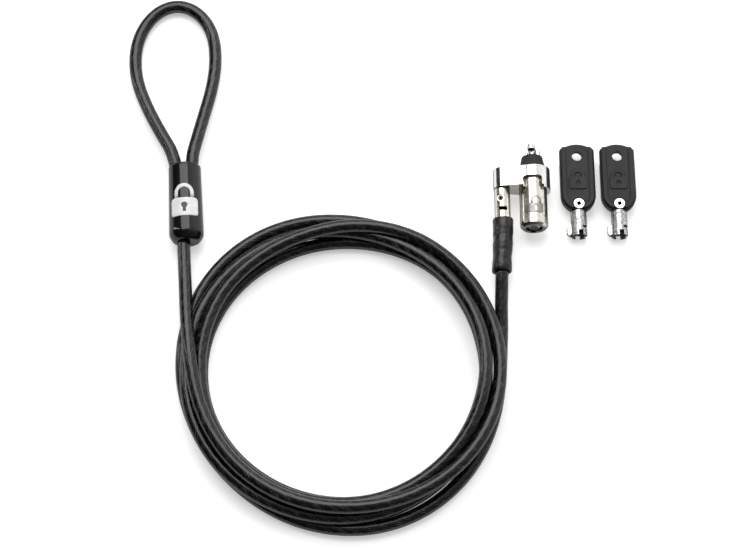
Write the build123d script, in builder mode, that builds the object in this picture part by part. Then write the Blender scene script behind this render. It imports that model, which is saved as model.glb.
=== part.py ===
from build123d import *
import math
import os

# Laptop cable lock: a keyed lock head on a swivel bracket, a jacketed steel cable
# wound in a flat coil, a crimped loop under a moulded sleeve, and two tubular keys.
# Millimetres. +Z up, the set lies on z = 0. +Y is the way the lock's nose points.
# Origin: middle of the footprint of the lock head and keys, on the surface.

os.makedirs("parts", exist_ok=True)

# ---------------------------------------------------------------- dimensions
BARREL_R = 5.0          # 10 mm lock head
BARREL_X = -11.25       # axis of the barrel
LOCK_Z = 6.3            # height of the barrel and terminal axes
KEY_END_Y = -8.4        # face that takes the key
SHOULDER_Y = 12.85      # end of the barrel, start of its neck
NECK_R = 3.5
NECK_END_Y = 17.0
PRONG_END_Y = 21.8
BAR_Y0, BAR_Y1 = 22.1, 23.9      # cross-bar of the spindle
BORE_R = 4.30           # inside of the barrel
LIP_Y = -7.0            # inner side of the lip behind the key end
KEYHOLE_R = 3.06
SHEAR_Y = 2.8           # plane between plug and stator
PLUG_Y = -1.6           # face of the plug at the bottom of the keyway
STATOR_END_Y = 9.5
POST_R = 2.12
PIN_PCR = 2.62          # radius of the circle of pins
PIN_R = 0.52
PIN_BORE_R = 0.58
SPINDLE_R = 1.15
SPINDLE_BORE_R = 1.21

COLLAR_R = 6.3
COLLAR_BORE_R = 5.05
ARM_Y0, ARM_Y1 = 6.9, 14.5      # swivel bracket from its cable side to its nose side
LEG_Y = 6.0                     # the collar's right leg ends here
ARM_HALF = 3.8                  # half thickness of the arm at the terminal
ARM_END = 3.2                   # the arm's rounded end, from the terminal's axis
ARM_SLOPE = math.radians(11.65) # the arm thickens towards the collar
ARM_TAN_X, ARM_TAN_Z = ARM_HALF * math.sin(ARM_SLOPE), ARM_HALF * math.cos(ARM_SLOPE)
TERM_X = -22.5                  # axis of the cable terminal
TERM_R = 2.85
TERM_BORE_R = 1.62
STUD_R = 1.55
STUD_HOLE_R = 1.61
PIN_TILT = 18.0                 # roll pin leans this far from upright
ROLL_PIN_R = 1.0

BUMPER_Y0, BUMPER_Y1 = 14.55, 19.5
BUMPER_R0, BUMPER_R1 = 4.6, 3.7

CABLE_D = 4.7
CABLE_R = CABLE_D / 2
SHRINK_Y0, SHRINK_Y1 = -4.8, -24.8
CABLE_START_Y = -12.12          # the cable's end, face to face with its slug

KEY_XS = (5.25, 19.95)          # centre lines of the two keys
KEY_HALF_W = 6.3
KEY_T = 6.6                     # thickness of the bow
KEY_WAIST_Z = 3.4               # height of the bow's widest outline; it tapers below
KEY_Z = 3.15                    # axis of the key's tube
PANEL_Z = 6.3                   # floor of the bow's sunk panel
KEY_BOTTOM_Y = -0.7
KEY_TOP_Y = 25.0
SHANK_R = 2.88
SHANK_BORE_R = 2.2
SHANK_END_Y = -10.3
KEY_SCREW_Y = 1.57
SCREW_SEAT_Z = 5.5
SCREW_SEAT_R = 2.2
RING_HOLE_Y = 20.2
RING_HOLE_R = 1.85
RING_TAB_Z = 4.3                # underside of the thin end that the ring hole goes through

SLEEVE_LENGTH = 29.5
SLEEVE_R0, SLEEVE_R1 = 6.25, 5.85        # at the coil's end and at the loop's end
SLEEVE_BOTTOM = (-136.15, -13.75, 6.2)  # on the sleeve's axis, at the coil's end
SLEEVE_DIR = (-0.0622, 0.998, -0.009)
TAIL_X = -0.95                          # the coil's strand in the sleeve, off its axis
LEG_X = 2.5                             # the loop's strands in the sleeve, off its axis

COIL_C = (-80.32, -59.48)       # middle of the coil
COIL_H = 14.0
# outline of the coil, every 15 degrees from +X
COIL_OUTER = (57.7, 57.6, 57.2, 56.7, 56.6, 57.1, 57.9, 59.1, 60.1, 60.5, 60.2, 59.6,
              58.7, 57.9, 57.6, 57.5, 57.9, 58.7, 59.7, 60.4, 60.5, 60.0, 59.0, 58.1)
COIL_INNER = (47.7, 47.3, 46.9, 46.8, 46.2, 45.4, 44.7, 44.6, 44.8, 45.4, 46.1, 46.7,
              47.0, 47.0, 46.7, 46.3, 46.0, 45.9, 46.0, 46.2, 46.4, 46.6, 46.9, 47.4)

# routes of the stretches of cable that aren't coiled
LEAD_ROUTE = [(-22.5, CABLE_START_Y, 6.3), (-22.5, -22.3, 6.3), (-23.6, -32.5, 4.3),
              (-23.6, -44.5, 2.5), (-24.7, -54.5, 2.36)]
TAIL_ROUTE = [(-137.6, -7.9, 6.15), (-137.0, -18.5, 6.15), (-136.1, -29.5, 6.5), (-135.4, -37.5, 8.2)]
LOOP_ROUTE = [(-140.2, 11.3, 5.95), (-141.9, 20.6, 6.1), (-147.5, 30.2, 4.6), (-153.5, 41.9, 3.0),
              (-158.0, 53.8, 2.36), (-158.7, 66.0, 2.36), (-155.6, 75.8, 2.36), (-149.7, 82.5, 2.36),
              (-142.3, 84.5, 2.36), (-134.9, 80.9, 2.36), (-129.6, 72.6, 2.36), (-128.1, 61.2, 2.36),
              (-129.2, 49.7, 2.5), (-131.7, 38.3, 3.6), (-133.9, 27.7, 5.2), (-135.6, 19.4, 6.2),
              (-135.25, 11.6, 5.95)]



def lock_plane(y, x=BARREL_X, z=LOCK_Z):
    """Plane across the lock: local x is +X, local y is +Z, it faces -Y."""
    return Plane(origin=(x, y, z), x_dir=(1, 0, 0), z_dir=(0, -1, 0))


def side_plane(x=BARREL_X):
    """Plane through the barrel axis for turned profiles: local x is +X, local y is +Y."""
    return Plane(origin=(x, 0, LOCK_Z), x_dir=(1, 0, 0), z_dir=(0, 0, 1))


def save(builder, name):
    builder.part.label = name
    export_step(builder.part, "parts/" + name + ".step")


def roll_pin_plane(distance=0.0, side=1):
    """Plane across the roll pin, a distance from the terminal's axis, facing outwards."""
    a = math.radians(PIN_TILT)
    zx, zz = -math.sin(a) * side, math.cos(a) * side
    return Plane(origin=(TERM_X + zx * distance, 2.7, LOCK_Z + zz * distance), x_dir=(0, 1, 0), z_dir=(zx, 0, zz))


BARREL_AXIS = Axis((BARREL_X, 0, LOCK_Z), (0, 1, 0))
TERM_AXIS = Axis((TERM_X, 0, LOCK_Z), (0, 1, 0))

# ---------------------------------------------------------------- lock head
# Barrel with its neck: front lip with the keyway, channel for the key's lug,
# bore for plug and stator, closed shoulder and neck with the spindle bore.
with BuildPart() as lock_housing:
    with BuildSketch(side_plane()):
        with BuildLine():
            Polyline(
                (KEYHOLE_R, KEY_END_Y), (4.25, KEY_END_Y), (BARREL_R - 0.12, KEY_END_Y + 0.7),
                (BARREL_R, KEY_END_Y + 0.95), (BARREL_R, SHOULDER_Y - 0.3), (BARREL_R - 0.3, SHOULDER_Y),
                (NECK_R, SHOULDER_Y), (NECK_R, 14.6), (3.1, 14.6), (3.1, 15.3), (NECK_R, 15.3),
                (NECK_R, NECK_END_Y - 0.3), (NECK_R - 0.3, NECK_END_Y), (SPINDLE_BORE_R, NECK_END_Y),
                (SPINDLE_BORE_R, STATOR_END_Y + 0.1), (BORE_R, STATOR_END_Y + 0.1), (BORE_R, LIP_Y),
                (KEYHOLE_R, LIP_Y), close=True,
            )
        make_face()
    revolve(axis=BARREL_AXIS)
    # notch in the lip for the key's lug, at the underside
    with BuildSketch(lock_plane(LIP_Y + 0.2)):
        with Locations((0, -3.4)):
            Rectangle(1.9, 1.7)
    extrude(amount=2.0, mode=Mode.SUBTRACT)
    # hole for the pin that stakes the stator, from below
    with BuildSketch(Plane(origin=(BARREL_X, 7.4, LOCK_Z - 5.2), x_dir=(1, 0, 0), z_dir=(0, 0, 1))):
        Circle(0.62)
    extrude(amount=2.6, mode=Mode.SUBTRACT)
    # two guard prongs that fill the ends of a security slot
    with BuildSketch(lock_plane(PRONG_END_Y)):
        with Locations(Location((0, 0), 13.0)):
            with Locations((2.25, 0), (-2.25, 0)):
                RectangleRounded(1.4, 2.3, 0.35)
    extrude(amount=PRONG_END_Y - NECK_END_Y + 0.4)
save(lock_housing, "lock_housing")

# Plug: disc with the centre post of the keyway and four bores for the key pins.
with BuildPart() as lock_plug:
    with BuildSketch(lock_plane(SHEAR_Y)):
        Circle(BORE_R - 0.05)
    extrude(amount=SHEAR_Y - PLUG_Y)
    with BuildSketch(lock_plane(PLUG_Y + 0.2)):
        Circle(POST_R)
    extrude(amount=PLUG_Y + 0.2 - (KEY_END_Y + 0.25))
    chamfer(lock_plug.edges().filter_by(GeomType.CIRCLE).sort_by(Axis.Y)[0], 0.3)
    with BuildSketch(lock_plane(SHEAR_Y)):
        with PolarLocations(PIN_PCR, 4, start_angle=45):
            Circle(PIN_BORE_R)
    extrude(amount=SHEAR_Y - PLUG_Y + 0.7, mode=Mode.SUBTRACT)
    with BuildSketch(lock_plane(SHEAR_Y)):
        Circle(SPINDLE_R)
    extrude(amount=3.0, mode=Mode.SUBTRACT)
    with BuildSketch(Plane(origin=(BARREL_X - 5, 1.2, LOCK_Z), x_dir=(0, 1, 0), z_dir=(1, 0, 0))):
        Circle(0.4)
    extrude(amount=10, mode=Mode.SUBTRACT)
save(lock_plug, "lock_plug")

# Spindle with the cross-bar that turns behind the security slot.
with BuildPart() as t_bar:
    with BuildSketch(lock_plane(BAR_Y0 + 0.2)):
        Circle(SPINDLE_R)
    extrude(amount=BAR_Y0 + 0.2 + 0.15)
    with BuildSketch(lock_plane(BAR_Y1)):
        with Locations(Location((0, 0), 13.0)):
            SlotOverall(6.5, 2.6, rotation=90)
    extrude(amount=BAR_Y1 - BAR_Y0)
    chamfer(t_bar.faces().sort_by(Axis.Y)[-1].edges(), 0.35)
    with BuildSketch(Plane(origin=(BARREL_X - 5, 1.2, LOCK_Z), x_dir=(0, 1, 0), z_dir=(1, 0, 0))):
        Circle(0.4)
    extrude(amount=10, mode=Mode.SUBTRACT)
save(t_bar, "t_bar")

# Cross pin that makes plug and spindle turn together.
with BuildPart() as drive_pin:
    with BuildSketch(Plane(origin=(BARREL_X - 4.15, 1.2, LOCK_Z), x_dir=(0, 1, 0), z_dir=(1, 0, 0))):
        Circle(0.4)
    extrude(amount=8.3)
save(drive_pin, "drive_pin")

# Stator: fixed sleeve behind the plug, with blind bores for driver pins and springs.
with BuildPart() as pin_stator:
    with BuildSketch(lock_plane(STATOR_END_Y)):
        Circle(BORE_R - 0.02)
        Circle(SPINDLE_BORE_R, mode=Mode.SUBTRACT)
    extrude(amount=STATOR_END_Y - SHEAR_Y - 0.06)
    with BuildSketch(lock_plane(8.9)):
        with PolarLocations(PIN_PCR, 4, start_angle=45):
            Circle(PIN_BORE_R)
    extrude(amount=8.9 - SHEAR_Y, mode=Mode.SUBTRACT)
    with BuildSketch(Plane(origin=(BARREL_X, 7.4, LOCK_Z - 5.2), x_dir=(1, 0, 0), z_dir=(0, 0, 1))):
        Circle(0.6)
    extrude(amount=2.6, mode=Mode.SUBTRACT)
save(pin_stator, "pin_stator")

with BuildPart() as stator_pin:
    with BuildSketch(Plane(origin=(BARREL_X, 7.4, LOCK_Z - 4.92), x_dir=(1, 0, 0), z_dir=(0, 0, 1))):
        Circle(0.6)
    extrude(amount=2.3)
save(stator_pin, "stator_pin")

# Key pins in the plug: one length for each cut of the key, rear ends on the shear plane.
KEY_PIN_LENGTHS = (3.1, 2.5, 3.4, 2.8)
with BuildPart() as key_pins:
    for i, length in enumerate(KEY_PIN_LENGTHS):
        a = math.radians(45 + 90 * i)
        with BuildSketch(lock_plane(SHEAR_Y, BARREL_X + PIN_PCR * math.cos(a), LOCK_Z + PIN_PCR * math.sin(a))):
            Circle(PIN_R)
        extrude(amount=length)
    chamfer(key_pins.edges().filter_by(GeomType.CIRCLE), 0.1)
save(key_pins, "key_pins")

# Driver pins in the stator, front ends on the shear plane.
with BuildPart() as driver_pins:
    with BuildSketch(lock_plane(SHEAR_Y + 0.06 + 2.4)):
        with PolarLocations(PIN_PCR, 4, start_angle=45):
            Circle(PIN_R)
    extrude(amount=2.4)
    chamfer(driver_pins.edges().filter_by(GeomType.CIRCLE), 0.1)
save(driver_pins, "driver_pins")

# Springs behind the driver pins.
SPRING_Y0, SPRING_Y1 = SHEAR_Y + 0.06 + 2.4 + 0.02, 8.88
SPRING_R, WIRE_R = 0.40, 0.09
with BuildPart() as pin_springs:
    for i in range(4):
        a = math.radians(45 + 90 * i)
        cx, cz = BARREL_X + PIN_PCR * math.cos(a), LOCK_Z + PIN_PCR * math.sin(a)
        lo, hi = SPRING_Y0 + WIRE_R, SPRING_Y1 - WIRE_R
        with BuildLine() as coil_line:
            Helix(pitch=(hi - lo) / 6.0, height=hi - lo, radius=SPRING_R,
                  center=(cx, lo, cz), direction=(0, 1, 0))
        with BuildSketch(Plane(origin=coil_line.line @ 0, z_dir=coil_line.line % 0)):
            Circle(WIRE_R)
        sweep(path=coil_line.line, is_frenet=True)
save(pin_springs, "pin_springs")

# Snap ring on the neck, behind the bumper: it keeps the bracket on the barrel.
with BuildPart() as bracket_clip:
    with BuildSketch(lock_plane(15.25)):
        Circle(3.85)
        Circle(3.12, mode=Mode.SUBTRACT)
        with Locations((0, 3.5)):
            Rectangle(2.2, 2.0, mode=Mode.SUBTRACT)
    extrude(amount=0.6)
save(bracket_clip, "bracket_clip")

# Rubber cone that cushions the computer's case.
with BuildPart() as nose_bumper:
    with BuildSketch(side_plane()):
        with BuildLine():
            Polyline(
                (3.92, BUMPER_Y0), (BUMPER_R0, BUMPER_Y0), (BUMPER_R0 + 0.02, BUMPER_Y0 + 0.8),
                (BUMPER_R1 + 0.12, BUMPER_Y1 - 0.2), (BUMPER_R1 - 0.1, BUMPER_Y1), (3.2, BUMPER_Y1),
                (3.2, NECK_END_Y + 0.02), (NECK_R + 0.01, NECK_END_Y + 0.02),
                (NECK_R + 0.01, 15.4), (3.92, 15.4), close=True,
            )
        make_face()
    revolve(axis=BARREL_AXIS)
save(nose_bumper, "nose_bumper")

# Swivel bracket: collar on the barrel's nose, with an arm out to the cable terminal.
with BuildPart() as swivel_bracket:
    with BuildSketch(lock_plane(ARM_Y1)):
        with BuildLine():
            Line((0, 5.6), (-2.9, 5.6))
            Line((-2.9, 5.6), (TERM_X - BARREL_X - ARM_TAN_X, ARM_TAN_Z))
            ThreePointArc((TERM_X - BARREL_X - ARM_TAN_X, ARM_TAN_Z), (TERM_X - BARREL_X - ARM_END, 0), (TERM_X - BARREL_X - ARM_TAN_X, -ARM_TAN_Z))
            Line((TERM_X - BARREL_X - ARM_TAN_X, -ARM_TAN_Z), (-2.9, -5.6))
            Line((-2.9, -5.6), (0, -5.6))
            Line((0, -5.6), (0, 5.6))
        make_face()
    extrude(amount=ARM_Y1 - ARM_Y0)
    with BuildSketch(lock_plane(ARM_Y1)):
        Circle(COLLAR_R)
    extrude(amount=ARM_Y1 - LEG_Y)
    fillet(swivel_bracket.faces().sort_by(Axis.Y)[-1].edges(), 0.45)
    # only the collar's right leg keeps its full length
    with BuildSketch(lock_plane(ARM_Y0)):
        with Locations((3.5 - 8, 0)):
            Rectangle(16, 16)
    extrude(amount=3, mode=Mode.SUBTRACT)
    # bore for the barrel, front hole for its neck
    with BuildSketch(lock_plane(12.92)):
        Circle(COLLAR_BORE_R)
    extrude(amount=8, mode=Mode.SUBTRACT)
    with BuildSketch(lock_plane(15)):
        Circle(NECK_R + 0.06)
    extrude(amount=4, mode=Mode.SUBTRACT)
    # open window over the barrel, round-cornered, open to the key side
    with BuildSketch(Plane(origin=(BARREL_X, 0, LOCK_Z + 2.2), x_dir=(1, 0, 0), z_dir=(0, 0, 1))):
        with Locations((-0.6, 10.2 - 5)):
            RectangleRounded(6.9, 10.0, 1.1)
    extrude(amount=6, mode=Mode.SUBTRACT)
    # hole for the stud and counterbore for its head
    with BuildSketch(lock_plane(15, TERM_X)):
        Circle(STUD_HOLE_R)
    extrude(amount=10, mode=Mode.SUBTRACT)
    with BuildSketch(lock_plane(15, TERM_X)):
        Circle(2.56)
    extrude(amount=1.85, mode=Mode.SUBTRACT)
save(swivel_bracket, "swivel_bracket")

# ---------------------------------------------------------------- cable terminal
with BuildPart() as swivel_stud:
    with BuildSketch(lock_plane(14.3, TERM_X)):
        Circle(2.5)
    extrude(amount=1.1)
    with BuildSketch(lock_plane(13.3, TERM_X)):
        Circle(STUD_R)
    extrude(amount=13.3 - 0.3)
    fillet(swivel_stud.faces().sort_by(Axis.Y)[-1].edges(), 0.3)
    with BuildSketch(roll_pin_plane()):
        Circle(ROLL_PIN_R)
    extrude(amount=4, both=True, mode=Mode.SUBTRACT)
save(swivel_stud, "swivel_stud")

with BuildPart() as cable_terminal:
    with BuildSketch(lock_plane(ARM_Y0 - 0.06, TERM_X)):
        Circle(TERM_R)
    extrude(amount=ARM_Y0 - 0.06 + 12.0)
    chamfer(cable_terminal.faces().sort_by(Axis.Y)[-1].edges(), 0.25)
    with BuildSketch(lock_plane(8, TERM_X)):
        Circle(STUD_R + 0.01)
    extrude(amount=8.4, mode=Mode.SUBTRACT)
    with BuildSketch(lock_plane(-0.4, TERM_X)):
        Circle(2.25)
    extrude(amount=14, mode=Mode.SUBTRACT)
    with BuildSketch(roll_pin_plane()):
        Circle(ROLL_PIN_R)
    extrude(amount=4, both=True, mode=Mode.SUBTRACT)
    for side in (1, -1):
        with BuildSketch(roll_pin_plane(2.5, side)):
            Circle(1.32)
        extrude(amount=1, mode=Mode.SUBTRACT)
    # staking window across the top of the tube
    with BuildSketch(Plane(origin=(TERM_X, -1.4, LOCK_Z + 0.5), x_dir=(1, 0, 0), z_dir=(0, 0, 1))):
        SlotOverall(3.2, 1.5)
    extrude(amount=4, mode=Mode.SUBTRACT)
save(cable_terminal, "cable_terminal")

with BuildPart() as terminal_roll_pin:
    with BuildSketch(roll_pin_plane()):
        Circle(ROLL_PIN_R)
        Circle(0.55, mode=Mode.SUBTRACT)
        with Locations((-0.8, 0)):
            Rectangle(0.8, 0.26, mode=Mode.SUBTRACT)
    extrude(amount=2.66, both=True)
save(terminal_roll_pin, "terminal_roll_pin")

# Slug swaged on the bare wire rope inside the terminal.
with BuildPart() as cable_end_ferrule:
    with BuildSketch(lock_plane(-2.5, TERM_X)):
        Circle(2.23)
    extrude(amount=9.6)
    chamfer(cable_end_ferrule.edges().filter_by(GeomType.CIRCLE), 0.3)
save(cable_end_ferrule, "cable_end_ferrule")

# Shrink tube: wavy where it has drawn down, flared where the cable comes out.
with BuildPart() as heat_shrink:
    with BuildSketch(side_plane(TERM_X)):
        with BuildLine():
            Spline((3.72, -5.1), (3.74, -8.0), (3.52, -11.6), (3.62, -14.2), (3.42, -17.6), (3.46, -21.0), (3.66, -24.4))
            Line((3.66, -24.4), (3.5, SHRINK_Y1))
            Line((3.5, SHRINK_Y1), (3.1, -24.5))
            Line((3.1, -24.5), (CABLE_R + 0.03, -22.6))
            Line((CABLE_R + 0.03, -22.6), (CABLE_R + 0.03, -12.1))
            Line((CABLE_R + 0.03, -12.1), (TERM_R + 0.03, -12.1))
            Line((TERM_R + 0.03, -12.1), (TERM_R + 0.03, -4.9))
            Line((TERM_R + 0.03, -4.9), (3.4, SHRINK_Y0))
            Line((3.4, SHRINK_Y0), (3.72, -5.1))
        make_face()
    revolve(axis=TERM_AXIS)
save(heat_shrink, "heat_shrink")

# ---------------------------------------------------------------- keys
for n, kx in enumerate(KEY_XS, start=1):
    # bow: moulded grip with rails, sunk panel, ring hole and the padlock sign
    with BuildPart() as bow:
        with BuildSketch(Plane(origin=(kx, 0, KEY_WAIST_Z), x_dir=(1, 0, 0), z_dir=(0, 0, 1))):
            with BuildLine():
                Line((-2.9, KEY_BOTTOM_Y), (2.9, KEY_BOTTOM_Y))
                ThreePointArc((2.9, KEY_BOTTOM_Y), (5.25, 1.45), (KEY_HALF_W, 4.9))
                Line((KEY_HALF_W, 4.9), (KEY_HALF_W, 22.7))
                Line((KEY_HALF_W, 22.7), (5.15, 24.1))
                Line((5.15, 24.1), (3.95, 24.1))
                ThreePointArc((3.95, 24.1), (0, KEY_TOP_Y), (-3.95, 24.1))
                Line((-3.95, 24.1), (-5.15, 24.1))
                Line((-5.15, 24.1), (-KEY_HALF_W, 22.7))
                Line((-KEY_HALF_W, 22.7), (-KEY_HALF_W, 4.9))
                ThreePointArc((-KEY_HALF_W, 4.9), (-5.25, 1.45), (-2.9, KEY_BOTTOM_Y))
            make_face()
        extrude(amount=KEY_T - KEY_WAIST_Z)
        chamfer(bow.faces().sort_by(Axis.Z)[-1].edges(), 0.75)
        # underside, tapered in all round
        for inset, z in ((0.05, KEY_WAIST_Z), (1.7, 0)):
            w, lo, hi = KEY_HALF_W - inset, KEY_BOTTOM_Y + inset, 24.0 - inset
            with BuildSketch(Plane(origin=(kx, 0, z), x_dir=(1, 0, 0), z_dir=(0, 0, 1))):
                with BuildLine():
                    Line((-w, 22.3 - inset), (-w, 4.9))
                    Line((-w, 4.9), (1.05 - w, 1.35 + 0.7 * inset))
                    Line((1.05 - w, 1.35 + 0.7 * inset), (-2.9 + 0.6 * inset, lo))
                    Line((-2.9 + 0.6 * inset, lo), (2.9 - 0.6 * inset, lo))
                    Line((2.9 - 0.6 * inset, lo), (w - 1.05, 1.35 + 0.7 * inset))
                    Line((w - 1.05, 1.35 + 0.7 * inset), (w, 4.9))
                    Line((w, 4.9), (w, 22.3 - inset))
                    Line((w, 22.3 - inset), (w - 1.55, hi))
                    Line((w - 1.55, hi), (1.55 - w, hi))
                    Line((1.55 - w, hi), (-w, 22.3 - inset))
                make_face()
        loft(ruled=True)
        with BuildSketch(Plane(origin=(kx, 0, PANEL_Z), x_dir=(1, 0, 0), z_dir=(0, 0, 1))):
            with Locations((0, 15.0)):
                RectangleRounded(8.4, 28.4, 4.1)
        extrude(amount=1.0, mode=Mode.SUBTRACT)
        # thin end for the key ring, open below, and the ring hole through it
        with BuildSketch(Plane(origin=(kx, 0, 0), x_dir=(0, 1, 0), z_dir=(1, 0, 0))):
            with BuildLine():
                Polyline((15.6, -1), (16.0, 0), (17.6, RING_TAB_Z), (26, RING_TAB_Z), (26, -1), close=True)
            make_face()
        extrude(amount=8, both=True, mode=Mode.SUBTRACT)
        with BuildSketch(Plane(origin=(kx, RING_HOLE_Y, 0), x_dir=(1, 0, 0), z_dir=(0, 0, 1))):
            Circle(RING_HOLE_R)
        extrude(amount=KEY_T, mode=Mode.SUBTRACT)
        # raised padlock sign on the top panel
        with BuildSketch(Plane(origin=(kx, 0, PANEL_Z - 0.1), x_dir=(1, 0, 0), z_dir=(0, 0, 1))):
            with Locations((0, 9.6)):
                RectangleRounded(6.2, 4.7, 0.8)
            with Locations((0, 12.3)):
                Circle(2.35)
                Circle(1.45, mode=Mode.SUBTRACT)
            with Locations((0, 9.6)):
                RectangleRounded(6.2, 4.7, 0.8)
                Circle(0.85, mode=Mode.SUBTRACT)
        extrude(amount=0.4)
        # bore for the shank, sink and hole for the screw
        with BuildSketch(Plane(origin=(kx, 5.4, KEY_Z), x_dir=(1, 0, 0), z_dir=(0, -1, 0))):
            Circle(SHANK_R)
        extrude(amount=10, mode=Mode.SUBTRACT)
        with BuildSketch(Plane(origin=(kx, KEY_SCREW_Y, SCREW_SEAT_Z), x_dir=(1, 0, 0), z_dir=(0, 0, 1))):
            Circle(SCREW_SEAT_R)
        extrude(amount=3, mode=Mode.SUBTRACT)
    save(bow, "key_%d_bow" % n)

    # shank: steel tube with locating lug, end cuts and a side slit
    with BuildPart() as shank:
        with BuildSketch(Plane(origin=(kx, 5.4, KEY_Z), x_dir=(1, 0, 0), z_dir=(0, -1, 0))):
            Circle(SHANK_R)
        extrude(amount=5.4 - SHANK_END_Y)
        with BuildSketch(Plane(origin=(kx, 0, KEY_Z - 0.75), x_dir=(1, 0, 0), z_dir=(0, 0, 1))):
            with BuildLine():
                Polyline((-2.2, -5.8), (-3.8, -5.8), (-4.4, -6.4), (-4.4, -9.2), (-3.7, -10.0), (-2.2, SHANK_END_Y), close=True)
            make_face()
        extrude(amount=1.5)
        with BuildSketch(Plane(origin=(kx, 3.9, KEY_Z), x_dir=(1, 0, 0), z_dir=(0, -1, 0))):
            Circle(SHANK_BORE_R)
        extrude(amount=20, mode=Mode.SUBTRACT)
        # pin cuts of four depths at the end
        for ang, depth in ((82, 1.9), (172, 0.7), (262, 1.3), (-8, 1.1)):
            a = math.radians(ang)
            with BuildSketch(Plane(origin=(kx + 2.6 * math.cos(a), SHANK_END_Y - 1, KEY_Z + 2.6 * math.sin(a)),
                                   x_dir=(-math.sin(a), 0, math.cos(a)), z_dir=(0, 1, 0))):
                Rectangle(1.7, 1.6)
            extrude(amount=1 + depth, mode=Mode.SUBTRACT)
        with BuildSketch(Plane(origin=(kx, 0, KEY_Z + 0.3), x_dir=(1, 0, 0), z_dir=(0, 0, 1))):
            with Locations((2.2, -7.0)):
                Rectangle(2.2, 0.9)
        extrude(amount=4, mode=Mode.SUBTRACT)
        # seat for the screw's head, and its hole through both walls
        with BuildSketch(Plane(origin=(kx, KEY_SCREW_Y, SCREW_SEAT_Z), x_dir=(1, 0, 0), z_dir=(0, 0, 1))):
            Circle(SCREW_SEAT_R)
        extrude(amount=3, mode=Mode.SUBTRACT)
        with BuildSketch(Plane(origin=(kx, KEY_SCREW_Y, 0.3), x_dir=(1, 0, 0), z_dir=(0, 0, 1))):
            Circle(1.35)
        extrude(amount=8, mode=Mode.SUBTRACT)
    save(shank, "key_%d_shank" % n)

    # screw: flat bright head with a small square socket
    with BuildPart() as screw:
        with BuildSketch(Plane(origin=(kx, KEY_SCREW_Y, SCREW_SEAT_Z + 0.02), x_dir=(1, 0, 0), z_dir=(0, 0, 1))):
            Circle(2.05)
        extrude(amount=0.85)
        chamfer(screw.faces().sort_by(Axis.Z)[-1].edges(), 0.2)
        with BuildSketch(Plane(origin=(kx, KEY_SCREW_Y, 0.6), x_dir=(1, 0, 0), z_dir=(0, 0, 1))):
            Circle(1.3)
        extrude(amount=SCREW_SEAT_Z - 0.5)
        with BuildSketch(Plane(origin=(kx, KEY_SCREW_Y, 3.2), x_dir=(1, 0, 0), z_dir=(0, 0, 1))):
            Rectangle(1.45, 1.45, rotation=20)
        extrude(amount=4.0, mode=Mode.SUBTRACT)
    save(screw, "key_%d_screw" % n)

# ---------------------------------------------------------------- cable
def corner_radii(route):
    """Largest fair arc at each corner of a route: 0.45 of the shorter run."""
    radii = []
    for a, b, c in zip(route, route[1:], route[2:]):
        u, v = Vector(*b) - Vector(*a), Vector(*c) - Vector(*b)
        turn = math.radians(u.get_angle(v))
        radii.append(0.45 * min(u.length, v.length) / math.tan(turn / 2))
    return radii


def report(name, builder, path, radii):
    section = math.pi * CABLE_R ** 2
    print("%s: length %.1f, volume %.0f, section x length %.0f, radii %s" % (
        name, path.length, builder.part.volume, section * path.length, [round(r, 1) for r in radii]))


with BuildPart() as cable_lead:
    radii = corner_radii(LEAD_ROUTE)
    with BuildLine() as path:
        FilletPolyline(*LEAD_ROUTE, radius=radii)
    route = path.wires()[0]
    with BuildSketch(Plane(origin=route @ 0, z_dir=route % 0)):
        Circle(CABLE_R)
    sweep(path=route)
report("cable_lead", cable_lead, route, radii)
save(cable_lead, "cable_lead")

with BuildPart() as cable_tail:
    radii = corner_radii(TAIL_ROUTE)
    with BuildLine() as path:
        FilletPolyline(*TAIL_ROUTE, radius=radii)
    route = path.wires()[0]
    with BuildSketch(Plane(origin=route @ 0, z_dir=route % 0)):
        Circle(CABLE_R)
    sweep(path=route)
report("cable_tail", cable_tail, route, radii)
save(cable_tail, "cable_tail")

with BuildPart() as cable_loop:
    radii = corner_radii(LOOP_ROUTE)
    with BuildLine() as path:
        FilletPolyline(*LOOP_ROUTE, radius=radii)
    route = path.wires()[0]
    with BuildSketch(Plane(origin=route @ 0, z_dir=route % 0)):
        Circle(CABLE_R)
    sweep(path=route)
report("cable_loop", cable_loop, route, radii)
save(cable_loop, "cable_loop")

# Outer shape of the 4.6 turns lying on and beside each other.
with BuildPart() as cable_coil:
    with BuildSketch(Plane(origin=(COIL_C[0], COIL_C[1], 0), x_dir=(1, 0, 0), z_dir=(0, 0, 1))):
        for outline, how in ((COIL_OUTER, Mode.ADD), (COIL_INNER, Mode.SUBTRACT)):
            with BuildLine() as ring:
                Spline([(r * math.cos(math.radians(15 * i)), r * math.sin(math.radians(15 * i)))
                        for i, r in enumerate(outline)], periodic=True)
            make_face(mode=how)
    extrude(amount=COIL_H)
    fillet(cable_coil.faces().sort_by(Axis.Z)[-1].edges(), 2.3)
save(cable_coil, "cable_coil")

# ---------------------------------------------------------------- loop sleeve
def sleeve_plane(along):
    """Plane across the sleeve, a distance along its axis from the coil's end."""
    axis = Vector(*SLEEVE_DIR).normalized()
    return Plane(origin=Vector(*SLEEVE_BOTTOM) + axis * along, x_dir=(0.998, 0.0622, 0), z_dir=axis)


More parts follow.
